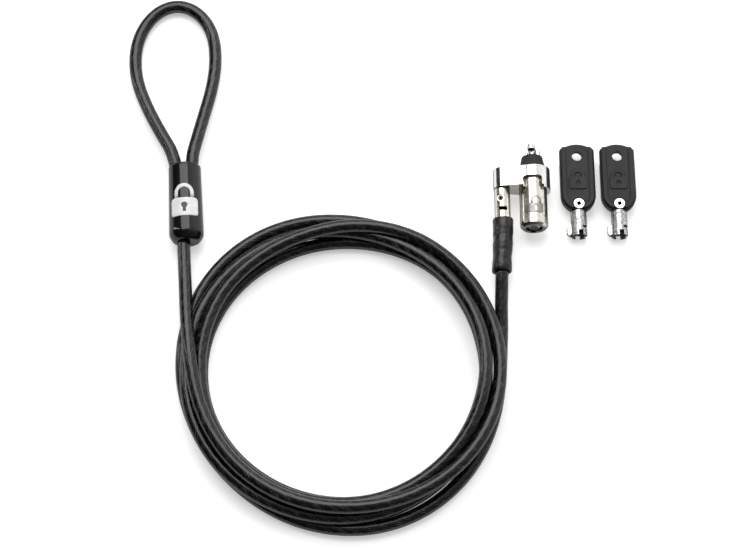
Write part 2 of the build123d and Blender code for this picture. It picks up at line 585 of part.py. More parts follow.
with BuildPart() as loop_sleeve:
    axis_plane = sleeve_plane(0)
    # local x is across, local y is along the sleeve
    with BuildSketch(Plane(origin=axis_plane.origin, x_dir=axis_plane.x_dir, z_dir=-axis_plane.y_dir)):
        with BuildLine():
            Line((0, 0), (3.6, 0))
            Spline((3.6, 0), (5.15, 0.75), (5.95, 2.1), (SLEEVE_R0, 4.2), tangents=((1, 0), (0, 1)))
            Line((SLEEVE_R0, 4.2), (SLEEVE_R1 + 0.05, SLEEVE_LENGTH - 1.0))
            ThreePointArc((SLEEVE_R1 + 0.05, SLEEVE_LENGTH - 1.0), (SLEEVE_R1 - 0.03, SLEEVE_LENGTH - 0.3), (SLEEVE_R1 - 0.3, SLEEVE_LENGTH))
            Line((SLEEVE_R1 - 0.3, SLEEVE_LENGTH), (0, SLEEVE_LENGTH))
            Line((0, SLEEVE_LENGTH), (0, 0))
        make_face()
    revolve(axis=Axis(axis_plane.origin, axis_plane.z_dir))
    with BuildSketch(sleeve_plane(-1)):
        with Locations((TAIL_X, 0)):
            Circle(CABLE_R + 0.03)
    extrude(amount=7.0, mode=Mode.SUBTRACT)
    with BuildSketch(sleeve_plane(5.95)):
        SlotOverall(10.0, 5.8)
    extrude(amount=19.3, mode=Mode.SUBTRACT)
    with BuildSketch(sleeve_plane(25.15)):
        SlotOverall(11.0, 4.9)
    extrude(amount=10, mode=Mode.SUBTRACT)
print("loop_sleeve volume %.0f" % loop_sleeve.part.volume)
save(loop_sleeve, "loop_sleeve")

with BuildPart() as loop_ferrule:
    with BuildSketch(sleeve_plane(6.05)):
        SlotOverall(9.9, 5.7)
        with Locations((LEG_X, 0), (-LEG_X, 0)):
            Circle(1.65, mode=Mode.SUBTRACT)
    extrude(amount=19.0)
    chamfer(loop_ferrule.faces().sort_by(Axis.Y)[-1].edges(), 0.3)
save(loop_ferrule, "loop_ferrule")

# Bare wire rope inside the ferrule, one length in each bore.
with BuildPart() as loop_rope:
    with BuildSketch(sleeve_plane(6.15)):
        with Locations((LEG_X, 0), (-LEG_X, 0)):
            Circle(1.62)
    extrude(amount=18.9)
save(loop_rope, "loop_rope")
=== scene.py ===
import math
import random

import bpy
from mathutils import Matrix, Vector, noise


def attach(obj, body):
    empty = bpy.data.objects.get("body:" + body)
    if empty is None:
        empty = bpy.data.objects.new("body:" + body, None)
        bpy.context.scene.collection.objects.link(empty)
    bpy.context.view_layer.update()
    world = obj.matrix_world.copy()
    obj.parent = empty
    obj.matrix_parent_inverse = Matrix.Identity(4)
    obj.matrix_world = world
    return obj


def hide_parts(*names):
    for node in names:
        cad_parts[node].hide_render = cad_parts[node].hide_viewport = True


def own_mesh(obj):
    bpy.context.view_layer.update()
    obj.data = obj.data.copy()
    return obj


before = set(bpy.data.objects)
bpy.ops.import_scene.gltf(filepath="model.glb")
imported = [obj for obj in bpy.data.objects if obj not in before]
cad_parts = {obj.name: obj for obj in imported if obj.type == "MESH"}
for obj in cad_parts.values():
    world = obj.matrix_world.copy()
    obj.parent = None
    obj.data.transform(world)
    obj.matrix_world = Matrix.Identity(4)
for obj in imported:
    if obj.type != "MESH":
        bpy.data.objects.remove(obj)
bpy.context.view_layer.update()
scene = bpy.context.scene
rng = random.Random(7)

# ---------------------------------------------------------------- camera
# Looks down at 70 degrees on the middle of the layout.
cam_data = bpy.data.cameras.new("camera")
cam_data.sensor_fit = "HORIZONTAL"
cam_data.sensor_width = 36.0
cam_data.lens = 1724.0 / 730.0 * 36.0
cam_data.clip_start = 0.01
cam = bpy.data.objects.new("camera", cam_data)
scene.collection.objects.link(cam)
cam.location = (-0.0722, -0.23585, 0.5837)
cam.rotation_euler = (math.radians(20.0), 0.0, 0.0)
scene.camera = cam


# ---------------------------------------------------------------- small helpers
def link(obj):
    scene.collection.objects.link(obj)
    return obj


def mesh_object(name, verts, faces, smooth=True):
    me = bpy.data.meshes.new(name)
    me.from_pydata([tuple(v) for v in verts], [], faces)
    me.update()
    for p in me.polygons:
        p.use_smooth = smooth
    return link(bpy.data.objects.new(name, me))


def centreline(name, route, resolution):
    """Points along a quadratic NURBS spline whose control points are the route's points."""
    curve = bpy.data.curves.new(name, "CURVE")
    curve.dimensions = "3D"
    curve.resolution_u = resolution
    spline = curve.splines.new("NURBS")
    spline.points.add(len(route) - 1)
    for p, co in zip(spline.points, route):
        p.co = (co[0], co[1], co[2], 1.0)
    spline.order_u = 3
    spline.use_endpoint_u = True
    spline.resolution_u = resolution
    obj = link(bpy.data.objects.new(name, curve))
    bpy.context.view_layer.update()
    dg = bpy.context.evaluated_depsgraph_get()
    me = bpy.data.meshes.new_from_object(obj.evaluated_get(dg))
    points = [v.co.copy() for v in me.vertices]
    bpy.data.objects.remove(obj)
    bpy.data.meshes.remove(me)
    return points


def arc_lengths(points):
    out = [0.0]
    for a, b in zip(points, points[1:]):
        out.append(out[-1] + (b - a).length)
    return out


def frames(points):
    """Tangent and two rotation-minimising normals at each point."""
    tangents = []
    for i in range(len(points)):
        a, b = points[max(i - 1, 0)], points[min(i + 1, len(points) - 1)]
        tangents.append((b - a).normalized())
    n = tangents[0].cross(Vector((0, 0, 1)))
    n = n.normalized() if n.length > 1e-6 else Vector((1, 0, 0))
    out = []
    for t in tangents:
        n = (n - t * n.dot(t)).normalized()
        out.append((t, n, t.cross(n)))
    return out


def rope_tube(name, points, radius, strands=6, lay=0.030, per_strand=6, groove=0.000014):
    """Jacketed wire rope: a tube whose skin follows the lay of the strands under it."""
    n = strands * per_strand
    s = arc_lengths(points)
    verts, faces = [], []
    for (t, a, b), p, d in zip(frames(points), points, s):
        twist = 2 * math.pi * d / lay
        wobble = 0.00002 * noise.noise(Vector((d * 40.0, 3.1, 0.0)))
        for j in range(n):
            phase = 2 * math.pi * j / n
            r = radius + wobble - groove * 0.5 * (1 + math.cos(strands * phase)) ** 1.6 / 1.5
            ang = phase + twist
            verts.append(p + a * (r * math.cos(ang)) + b * (r * math.sin(ang)))
    rings = len(points)
    for i in range(rings - 1):
        for j in range(n):
            k = (j + 1) % n
            faces.append((i * n + j, i * n + k, (i + 1) * n + k, (i + 1) * n + j))
    faces.append(tuple(reversed(range(n))))
    faces.append(tuple((rings - 1) * n + j for j in range(n)))
    obj = mesh_object(name, verts, faces)
    obj.data.polygons[-1].use_smooth = obj.data.polygons[-2].use_smooth = False
    uv = obj.data.uv_layers.new(name="lay")
    loops = uv.data
    index = 0
    for i in range(rings - 1):
        v0, v1 = s[i] / lay, s[i + 1] / lay
        for j in range(n):
            u0, u1 = j / per_strand, (j + 1) / per_strand
            for u, v in ((u0, v0), (u1, v0), (u1, v1), (u0, v1)):
                loops[index].uv = (u, v)
                index += 1
    return obj


# ---------------------------------------------------------------- node helpers
def material(name):
    mat = bpy.data.materials.new(name)
    mat.use_nodes = True
    nt = mat.node_tree
    nt.nodes.clear()
    out = nt.nodes.new("ShaderNodeOutputMaterial")
    bsdf = nt.nodes.new("ShaderNodeBsdfPrincipled")
    nt.links.new(bsdf.outputs[0], out.inputs[0])
    return mat, nt, bsdf


def node(nt, kind, **settings):
    n = nt.nodes.new(kind)
    for key, value in settings.items():
        if key.startswith("in_"):
            n.inputs[key[3:].replace("_", " ")].default_value = value
        else:
            setattr(n, key, value)
    return n


def link_nodes(nt, *pairs):
    for a, b in pairs:
        nt.links.new(a, b)


def object_coords(nt, scale=(1, 1, 1)):
    tc = node(nt, "ShaderNodeTexCoord")
    mp = node(nt, "ShaderNodeMapping")
    mp.inputs["Scale"].default_value = scale
    nt.links.new(tc.outputs["Object"], mp.inputs["Vector"])
    return mp.outputs["Vector"]


def noise_tex(nt, vector, scale, detail=4.0, rough=0.55):
    n = node(nt, "ShaderNodeTexNoise")
    n.inputs["Scale"].default_value = scale
    n.inputs["Detail"].default_value = detail
    n.inputs["Roughness"].default_value = rough
    nt.links.new(vector, n.inputs["Vector"])
    return n.outputs["Fac"]


def ramp(nt, fac, stops):
    r = node(nt, "ShaderNodeValToRGB")
    cr = r.color_ramp
    while len(cr.elements) > 2:
        cr.elements.remove(cr.elements[-1])
    for i, (pos, col) in enumerate(stops):
        e = cr.elements[i] if i < 2 else cr.elements.new(pos)
        e.position = pos
        e.color = (*col, 1.0) if len(col) == 3 else col
    nt.links.new(fac, r.inputs["Fac"])
    return r.outputs["Color"]


def remap(nt, value, lo, hi, from_lo=0.0, from_hi=1.0):
    m = node(nt, "ShaderNodeMapRange")
    m.inputs["From Min"].default_value = from_lo
    m.inputs["From Max"].default_value = from_hi
    m.inputs["To Min"].default_value = lo
    m.inputs["To Max"].default_value = hi
    nt.links.new(value, m.inputs["Value"])
    return m.outputs["Result"]


def math_node(nt, op, a, b=None, c=None):
    m = node(nt, "ShaderNodeMath", operation=op)
    for i, v in enumerate((a, b, c)):
        if v is None:
            continue
        if isinstance(v, (int, float)):
            m.inputs[i].default_value = v
        else:
            nt.links.new(v, m.inputs[i])
    return m.outputs[0]


def bump(nt, bsdf, height, distance, strength=1.0, normal=None):
    b = node(nt, "ShaderNodeBump")
    b.inputs["Strength"].default_value = strength
    b.inputs["Distance"].default_value = distance
    nt.links.new(height, b.inputs["Height"])
    if normal is not None:
        nt.links.new(normal, b.inputs["Normal"])
    nt.links.new(b.outputs["Normal"], bsdf.inputs["Normal"])
    return b.outputs["Normal"]


def soften_edges(nt, bsdf, facing, grazing, weight=None):
    """Specular level that is `facing` seen square on and falls to `grazing` at the outline."""
    lw = node(nt, "ShaderNodeLayerWeight")
    lw.inputs["Blend"].default_value = 0.5
    value = remap(nt, lw.outputs["Facing"], facing, grazing, 0.25, 0.9)
    if weight is not None:
        value = math_node(nt, "MULTIPLY", value, weight)
    nt.links.new(value, bsdf.inputs["Specular IOR Level"])


# ---------------------------------------------------------------- materials
def cable_material():
    """Smoky vinyl over a wire rope: the strands show through as dark grey strokes."""
    mat, nt, bsdf = material("cable_jacket")
    uv = node(nt, "ShaderNodeUVMap", uv_map="lay")
    sep = node(nt, "ShaderNodeSeparateXYZ")
    nt.links.new(uv.outputs["UV"], sep.inputs[0])
    u, v = sep.outputs[0], sep.outputs[1]
    # 1 at the crown of a strand and 0 in the groove
    across = math_node(nt, "ABSOLUTE", math_node(nt, "SUBTRACT", math_node(nt, "MULTIPLY", math_node(nt, "FRACT", u), 2.0), 1.0))
    crown = math_node(nt, "SUBTRACT", 1.0, across)
    coords = object_coords(nt)
    mottle = noise_tex(nt, coords, 320.0, 4.0)
    patch = noise_tex(nt, coords, 1000.0, 4.0, 0.7)
    fine = noise_tex(nt, coords, 4200.0, 3.0)
    # wires of the strands: fine helical strokes of uneven strength
    turn = math_node(nt, "ADD", math_node(nt, "MULTIPLY", u, 3.0), math_node(nt, "MULTIPLY", mottle, 0.5))
    wires = math_node(nt, "MULTIPLY_ADD", math_node(nt, "SINE", math_node(nt, "MULTIPLY", turn, 6.2832)), 0.5, 0.5)
    glint = math_node(nt, "MULTIPLY", math_node(nt, "POWER", wires, 1.5), math_node(nt, "MULTIPLY_ADD", crown, 0.55, 0.45))
    glint = math_node(nt, "MULTIPLY", glint, remap(nt, patch, 0.45, 1.1, 0.34, 0.60))
    glint = math_node(nt, "MULTIPLY", glint, remap(nt, mottle, 0.6, 1.15, 0.35, 0.65))
    colour = ramp(nt, glint, [(0.0, (0.0010, 0.0010, 0.0012)), (0.28, (0.0042, 0.0042, 0.0047)), (0.60, (0.030, 0.030, 0.032)), (1.0, (0.120, 0.120, 0.124))])
    rough = remap(nt, mottle, 0.15, 0.27, 0.3, 0.7)
    link_nodes(nt, (colour, bsdf.inputs["Base Color"]), (rough, bsdf.inputs["Roughness"]))
    soften_edges(nt, bsdf, 0.42, 0.03)
    height = math_node(nt, "ADD", math_node(nt, "MULTIPLY", glint, 0.22), math_node(nt, "ADD", math_node(nt, "MULTIPLY", patch, 0.16), math_node(nt, "MULTIPLY", fine, 0.05)))
    bump(nt, bsdf, height, 0.00006, 0.5)
    return mat


def sleeve_material():
    mat, nt, bsdf = material("sleeve_vinyl")
    coords = object_coords(nt)
    peel = noise_tex(nt, coords, 160.0, 2.0)
    dust = noise_tex(nt, coords, 1500.0, 5.0)
    wide = noise_tex(nt, coords, 60.0, 3.0)
    colour = ramp(nt, wide, [(0.3, (0.0030, 0.0030, 0.0033)), (0.7, (0.0060, 0.0060, 0.0066))])
    rough = remap(nt, dust, 0.05, 0.12, 0.35, 0.75)
    link_nodes(nt, (colour, bsdf.inputs["Base Color"]), (rough, bsdf.inputs["Roughness"]))
    soften_edges(nt, bsdf, 0.38, 0.04)
    bump(nt, bsdf, math_node(nt, "ADD", peel, math_node(nt, "MULTIPLY", dust, 0.04)), 0.00010, 0.3)
    return mat


def shrink_material():
    mat, nt, bsdf = material("shrink_tube")
    coords = object_coords(nt, (1.0, 0.35, 1.0))
    soft = noise_tex(nt, coords, 260.0, 4.0)
    grain = noise_tex(nt, object_coords(nt), 3800.0, 4.0)
    colour = ramp(nt, soft, [(0.3, (0.005, 0.005, 0.0056)), (0.7, (0.011, 0.011, 0.012))])
    rough = remap(nt, soft, 0.24, 0.36, 0.3, 0.7)
    link_nodes(nt, (colour, bsdf.inputs["Base Color"]), (rough, bsdf.inputs["Roughness"]))
    soften_edges(nt, bsdf, 0.42, 0.10)
    bump(nt, bsdf, math_node(nt, "ADD", soft, math_node(nt, "MULTIPLY", grain, 0.10)), 0.00012, 0.5)
    return mat


def shade_neg_y_faces(nt, colour, level):
    """Painted shade: faces that point to -Y get a darker base colour, a painted reflection of the dark space in front.
    """
    tc = node(nt, "ShaderNodeTexCoord")
    sep = node(nt, "ShaderNodeSeparateXYZ")
    nt.links.new(tc.outputs["Normal"], sep.inputs[0])
    neg_y_shade = remap(nt, sep.outputs[1], level, 1.0, -0.92, -0.45)
    mix = node(nt, "ShaderNodeMix", data_type="RGBA", blend_type="MULTIPLY")
    mix.inputs[0].default_value = 1.0
    nt.links.new(colour, mix.inputs[6])
    grey = node(nt, "ShaderNodeCombineColor")
    for k in range(3):
        nt.links.new(neg_y_shade, grey.inputs[k])
    nt.links.new(grey.outputs[0], mix.inputs[7])
    return mix.outputs[2]


def eased(nt, radius):
    """Normal that rounds hard edges off by a small radius."""
    b = node(nt, "ShaderNodeBevel", samples=4)
    b.inputs["Radius"].default_value = radius
    return b.outputs["Normal"]


def metal_material(name, light, dark, rough_lo, rough_hi, scale=(1.0, 1.0, 1.0), scratch=0.3, mottle_scale=350.0, bump_mm=0.02, edge=0.25, ease=0.00009, end_shade=0.22):
    """Plated metal with uneven polish, fine scratches and slightly stained low spots, with painted shade on faces that
    point to -Y.
    """
    mat, nt, bsdf = material(name)
    bsdf.inputs["Metallic"].default_value = 1.0
    coords = object_coords(nt)
    mottle = noise_tex(nt, coords, mottle_scale, 5.0)
    lines = noise_tex(nt, object_coords(nt, scale), 900.0, 4.0, 0.65)
    grit = noise_tex(nt, coords, 5200.0, 3.0)
    colour = ramp(nt, mottle, [(0.32, dark), (0.62, light)])
    rough = math_node(nt, "ADD", remap(nt, mottle, rough_lo, rough_hi, 0.7, 0.3), math_node(nt, "MULTIPLY", remap(nt, lines, 0.0, 1.0, 0.5, 0.8), 0.10 * scratch * 3))
    link_nodes(nt, (colour, bsdf.inputs["Base Color"]), (rough, bsdf.inputs["Roughness"]))
    # Painted shade: a dark edge tint blackens the metal at grazing angles, a painted reflection of the shaded floor
    # beside it.
    bsdf.inputs["Specular Tint"].default_value = (edge, edge, edge, 1)
    # painted shade: darker base colour on faces that point to -Y
    colour = shade_neg_y_faces(nt, colour, end_shade)
    nt.links.new(colour, bsdf.inputs["Base Color"])
    height = math_node(nt, "ADD", math_node(nt, "MULTIPLY", lines, scratch), math_node(nt, "ADD", math_node(nt, "MULTIPLY", mottle, 0.6), math_node(nt, "MULTIPLY", grit, 0.06)))
    bump(nt, bsdf, height, bump_mm * 0.001, 0.6, eased(nt, ease))
    return mat


def plastic_material(name, dark, light, rough_lo, rough_hi, grain_mm=0.02, level=0.3):
    mat, nt, bsdf = material(name)
    coords = object_coords(nt)
    wide = noise_tex(nt, coords, 180.0, 4.0)
    grain = node(nt, "ShaderNodeTexVoronoi", feature="SMOOTH_F1")
    grain.inputs["Scale"].default_value = 5200.0
    nt.links.new(coords, grain.inputs["Vector"])
    scuff = noise_tex(nt, object_coords(nt, (1.0, 0.2, 1.0)), 1600.0, 6.0, 0.7)
    colour = ramp(nt, wide, [(0.3, dark), (0.7, light)])
    rough = math_node(nt, "SUBTRACT", remap(nt, wide, rough_lo, rough_hi, 0.3, 0.7), math_node(nt, "MULTIPLY", remap(nt, scuff, 0.0, 1.0, 0.62, 0.8), 0.08))
    link_nodes(nt, (colour, bsdf.inputs["Base Color"]), (rough, bsdf.inputs["Roughness"]))
    bump(nt, bsdf, math_node(nt, "ADD", grain.outputs["Distance"], math_node(nt, "MULTIPLY", scuff, 0.2)), grain_mm * 0.001, 0.5, eased(nt, 0.00016))
    ao = node(nt, "ShaderNodeAmbientOcclusion", samples=8)
    ao.inputs["Distance"].default_value = 0.0009
    soften_edges(nt, bsdf, level, level * 0.25, math_node(nt, "POWER", ao.outputs["AO"], 1.6))
    return mat


def paint_material(name, colour_a, colour_b, rough):
    mat, nt, bsdf = material(name)
    coords = object_coords(nt)
    wide = noise_tex(nt, coords, 300.0, 4.0)
    fine = noise_tex(nt, coords, 4200.0, 4.0)
    colour = ramp(nt, wide, [(0.3, colour_a), (0.7, colour_b)])
    link_nodes(nt, (colour, bsdf.inputs["Base Color"]), (remap(nt, fine, rough * 0.8, rough * 1.2, 0.3, 0.7), bsdf.inputs["Roughness"]))
    bump(nt, bsdf, fine, 0.00001, 0.4)
    return mat


CABLE = cable_material()
SLEEVE = sleeve_material()
SHRINK = shrink_material()
def screw_material():
    """Bright screw whose deep socket is dark with painted shade."""
    mat, nt, bsdf = material("screw_nickel")
    bsdf.inputs["Metallic"].default_value = 1.0
    coords = object_coords(nt)
    sep = node(nt, "ShaderNodeSeparateXYZ")
    nt.links.new(coords, sep.inputs[0])
    # painted shade: the colour falls to black down inside the socket
    socket_shade = remap(nt, sep.outputs[2], 0.02, 1.0, 0.0056, 0.00628)
    mottle = noise_tex(nt, coords, 700.0, 5.0)
    socket_shade_and_tone = math_node(nt, "MULTIPLY", socket_shade, remap(nt, mottle, 0.80, 0.97, 0.35, 0.65))
    colour = ramp(nt, socket_shade_and_tone, [(0.0, (0.01, 0.01, 0.01)), (1.0, (0.97, 0.97, 0.97))])
    link_nodes(nt, (colour, bsdf.inputs["Base Color"]), (remap(nt, mottle, 0.26, 0.16, 0.3, 0.7), bsdf.inputs["Roughness"]))
    # painted shade: a dark edge tint blackens the outline at grazing angles
    bsdf.inputs["Specular Tint"].default_value = (0.3, 0.3, 0.3, 1)
    bump(nt, bsdf, mottle, 0.00001, 0.6, eased(nt, 0.00008))
    return mat


NICKEL = metal_material("nickel", (0.72, 0.70, 0.635), (0.56, 0.54, 0.48), 0.12, 0.25, (1.0, 0.25, 1.0), 0.5, 620.0, 0.022, 0.10, 0.00009, 0.5)
CHROME = metal_material("bracket_chrome", (0.78, 0.78, 0.75), (0.67, 0.67, 0.64), 0.07, 0.15, (1.0, 1.0, 1.0), 0.15, 300.0, 0.016, 0.10, 0.00016, 0.85)
SHANK = metal_material("shank_steel", (0.62, 0.61, 0.60), (0.20, 0.197, 0.193), 0.22, 0.42, (1.0, 0.15, 1.0), 0.6, 1300.0, 0.035, 0.12)
SCREW = screw_material()
PIN = metal_material("pin_steel", (0.40, 0.39, 0.37), (0.24, 0.23, 0.215), 0.26, 0.4, (1.0, 1.0, 1.0), 0.4, 700.0, 0.015)
ROLL_PIN = metal_material("roll_pin_steel", (0.20, 0.195, 0.18), (0.10, 0.097, 0.09), 0.3, 0.45, (1.0, 1.0, 1.0), 0.4, 700.0, 0.015)
PLUG = metal_material("plug_steel", (0.76, 0.75, 0.72), (0.58, 0.57, 0.55), 0.14, 0.26, (1.0, 1.0, 1.0), 0.3, 700.0, 0.012)
BRASS = metal_material("brass", (0.86, 0.66, 0.32), (0.66, 0.48, 0.21), 0.16, 0.3, (1.0, 1.0, 1.0), 0.3, 600.0, 0.012)
ALUMINIUM = metal_material("ferrule_aluminium", (0.80, 0.80, 0.81), (0.62, 0.62, 0.63), 0.25, 0.42, (1.0, 1.0, 1.0), 0.4, 500.0, 0.02)
ROPE = metal_material("wire_rope", (0.62, 0.62, 0.63), (0.38, 0.38, 0.39), 0.25, 0.42, (1.0, 0.1, 1.0), 0.8, 900.0, 0.05)
SPRING = metal_material("spring_steel", (0.56, 0.56, 0.57), (0.40, 0.40, 0.41), 0.2, 0.32, (1.0, 1.0, 1.0), 0.3, 900.0, 0.008)
BOW = plastic_material("bow_plastic", (0.0088, 0.0088, 0.0095), (0.0142, 0.0142, 0.0152), 0.42, 0.54, 0.018)
BUMPER = plastic_material("bumper_rubber", (0.016, 0.016, 0.016), (0.030, 0.030, 0.031), 0.62, 0.8, 0.03)
WHITE = paint_material("badge_white", (0.70, 0.70, 0.70), (0.78, 0.78, 0.775), 0.35)
ETCH = metal_material("etched_mark", (0.36, 0.35, 0.32), (0.29, 0.28, 0.255), 0.42, 0.52, (1.0, 1.0, 1.0), 0.3, 1200.0, 0.01)

BY_NODE = {
    "loop_sleeve": SLEEVE, "loop_ferrule": ALUMINIUM, "loop_rope": ROPE,
    "cable_terminal": NICKEL, "terminal_roll_pin": ROLL_PIN, "cable_end_ferrule": ROPE, "swivel_stud": PIN,
    "swivel_bracket": CHROME, "lock_housing": NICKEL, "bracket_clip": PIN, "nose_bumper": BUMPER,
    "pin_stator": BRASS, "stator_pin": PIN, "pin_springs": SPRING, "lock_plug": PLUG, "t_bar": PLUG,
    "drive_pin": PIN, "driver_pins": BRASS, "key_pins": BRASS,
    "key_1_bow": BOW, "key_1_shank": SHANK, "key_1_screw": SCREW,
    "key_2_bow": BOW, "key_2_shank": SHANK, "key_2_screw": SCREW,
}
for name, mat in BY_NODE.items():
    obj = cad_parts[name]
    obj.data.materials.clear()
    obj.data.materials.append(mat)

# The four pin springs: a copy of the CAD springs with its own mesh, carried by the barrel.
cad_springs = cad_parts["pin_springs"]
springs = link(bpy.data.objects.new("driver_springs", cad_springs.data.copy()))
springs.matrix_world = cad_springs.matrix_world.copy()
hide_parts("pin_springs")
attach(springs, "barrel")
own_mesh(springs)

# ---------------------------------------------------------------- cords
# Main cable: out of the lock's terminal, 4.6 turns of coil from the bottom up, then over
# the coil's top to the sleeve. Control points in metres.
MAIN_ROUTE = [
    (-0.02250, -0.01212, 0.00630), (-0.02272, -0.01650, 0.00630), (-0.02300, -0.02000, 0.00625), (-0.02335, -0.02550, 0.00570),
    (-0.02350, -0.03100, 0.00480), (-0.02375, -0.03800, 0.00360), (-0.02370, -0.04500, 0.00265), (-0.02410, -0.05230, 0.00240), (-0.02450, -0.05948, 0.00293), (-0.02604, -0.07403, 0.00254),
    (-0.03089, -0.08802, 0.00236), (-0.03926, -0.10054, 0.00236), (-0.05102, -0.11022, 0.00236), (-0.06518, -0.11597, 0.00236),
    (-0.08032, -0.11716, 0.00236), (-0.09500, -0.11426, 0.00236), (-0.10819, -0.10775, 0.00236), (-0.11932, -0.09848, 0.00236),
    (-0.12821, -0.08713, 0.00236), (-0.13432, -0.07395, 0.00236), (-0.13707, -0.05948, 0.00236), (-0.13600, -0.04456, 0.00236),
    (-0.13084, -0.03031, 0.00236), (-0.12173, -0.01807, 0.00236), (-0.10943, -0.00906, 0.00236), (-0.09514, -0.00419, 0.00236),
    (-0.08032, -0.00346, 0.00236), (-0.06603, -0.00616, 0.00236), (-0.05302, -0.01219, 0.00236), (-0.04211, -0.02127, 0.00236),
    (-0.03415, -0.03282, 0.00236), (-0.02984, -0.04596, 0.00236), (-0.02921, -0.05948, 0.00236), (-0.03182, -0.07248, 0.00236),
    (-0.03727, -0.08433, 0.00236), (-0.04536, -0.09444, 0.00236), (-0.05571, -0.10211, 0.00236), (-0.06763, -0.10684, 0.00236),
    (-0.08032, -0.10830, 0.00236), (-0.09292, -0.10651, 0.00236), (-0.10471, -0.10172, 0.00236), (-0.11503, -0.09419, 0.00236),
    (-0.12321, -0.08424, 0.00236), (-0.12845, -0.07238, 0.00236), (-0.13011, -0.05948, 0.00236), (-0.12812, -0.04667, 0.00236),
    (-0.12265, -0.03504, 0.00236), (-0.11438, -0.02542, 0.00236), (-0.10412, -0.01826, 0.00236), (-0.09259, -0.01368, 0.00236),
    (-0.08032, -0.01194, 0.00236), (-0.06784, -0.01291, 0.00236), (-0.05581, -0.01702, 0.00308), (-0.04516, -0.02432, 0.00432),
    (-0.03714, -0.03455, 0.00555), (-0.03203, -0.04654, 0.00649), (-0.02972, -0.05948, 0.00699), (-0.03050, -0.07283, 0.00678),
    (-0.03473, -0.08580, 0.00601), (-0.04252, -0.09728, 0.00529), (-0.05330, -0.10629, 0.00502), (-0.06624, -0.11204, 0.00528),
    (-0.08032, -0.11411, 0.00595), (-0.09452, -0.11246, 0.00666), (-0.10792, -0.10729, 0.00702), (-0.11957, -0.09873, 0.00711),
    (-0.12850, -0.08729, 0.00712), (-0.13378, -0.07381, 0.00701), (-0.13500, -0.05948, 0.00656), (-0.13292, -0.04539, 0.00579),
    (-0.12725, -0.03239, 0.00496), (-0.11826, -0.02154, 0.00443), (-0.10672, -0.01376, 0.00438), (-0.09370, -0.00955, 0.00487),
    (-0.08032, -0.00889, 0.00581), (-0.06745, -0.01146, 0.00677), (-0.05561, -0.01668, 0.00783), (-0.04530, -0.02446, 0.00904),
    (-0.03721, -0.03459, 0.01026), (-0.03191, -0.04651, 0.01120), (-0.02985, -0.05948, 0.01169), (-0.03141, -0.07259, 0.01138),
    (-0.03656, -0.08475, 0.01023), (-0.04480, -0.09500, 0.00876), (-0.05529, -0.10284, 0.00762), (-0.06738, -0.10778, 0.00703),
    (-0.08032, -0.10946, 0.00689), (-0.09328, -0.10786, 0.00684), (-0.10542, -0.10295, 0.00684), (-0.11585, -0.09501, 0.00690),
    (-0.12378, -0.08457, 0.00698), (-0.12868, -0.07244, 0.00705), (-0.13030, -0.05948, 0.00722), (-0.12866, -0.04653, 0.00748),
    (-0.12384, -0.03435, 0.00769), (-0.11560, -0.02430, 0.00808), (-0.10510, -0.01665, 0.00874), (-0.09320, -0.01150, 0.00957),
    (-0.08032, -0.00860, 0.01019), (-0.06690, -0.00880, 0.00995), (-0.05331, -0.01270, 0.00900), (-0.04159, -0.02075, 0.00802),
    (-0.03239, -0.03181, 0.00741), (-0.02657, -0.04508, 0.00737), (-0.02457, -0.05948, 0.00791), (-0.02641, -0.07393, 0.00887),
    (-0.03230, -0.08721, 0.00979), (-0.04164, -0.09816, 0.01037), (-0.05349, -0.10594, 0.01071), (-0.06670, -0.11032, 0.01096),
    (-0.08032, -0.11145, 0.01117), (-0.09373, -0.10954, 0.01122), (-0.10623, -0.10435, 0.01127), (-0.11688, -0.09604, 0.01139),
    (-0.12495, -0.08525, 0.01149), (-0.13018, -0.07284, 0.01151), (-0.13297, -0.05948, 0.01168), (-0.13405, -0.05050, 0.01090),
    (-0.13520, -0.04050, 0.00880), (-0.13610, -0.02950, 0.00660), (-0.13700, -0.01850, 0.00615), (-0.13760, -0.00790, 0.00615),
]
LOOP_ROUTE = [
    (-0.1402, 0.0113, 0.00595), (-0.1419, 0.0206, 0.0061), (-0.1475, 0.0302, 0.0046), (-0.1535, 0.0419, 0.0030),
    (-0.1580, 0.0538, 0.00236), (-0.1587, 0.0660, 0.00236), (-0.1556, 0.0758, 0.00236), (-0.1497, 0.0825, 0.00236),
    (-0.1423, 0.0845, 0.00236), (-0.1349, 0.0809, 0.00236), (-0.1296, 0.0726, 0.00236), (-0.1281, 0.0612, 0.00236),
    (-0.1292, 0.0497, 0.00250), (-0.1317, 0.0383, 0.00360), (-0.1339, 0.0277, 0.00520), (-0.1356, 0.0194, 0.00620),
    (-0.13525, 0.0116, 0.00595),
]
CABLE_D = 0.0047
main_points = centreline("main_line", MAIN_ROUTE, 14)
loop_points = centreline("loop_line", LOOP_ROUTE, 14)
main_length = arc_lengths(main_points)[-1]
loop_length = arc_lengths(loop_points)[-1]
print("main cable", round(main_length, 4), "loop", round(loop_length, 4), "points", len(main_points))

main_cable = rope_tube("main_cable", main_points, CABLE_D / 2)
main_cable.data.materials.append(CABLE)
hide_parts("cable_coil", "cable_lead", "cable_tail")
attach(main_cable, "root")

loop_cable = rope_tube("loop_cable", loop_points, CABLE_D / 2)
loop_cable.data.materials.append(CABLE)
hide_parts("cable_loop")
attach(loop_cable, "root")

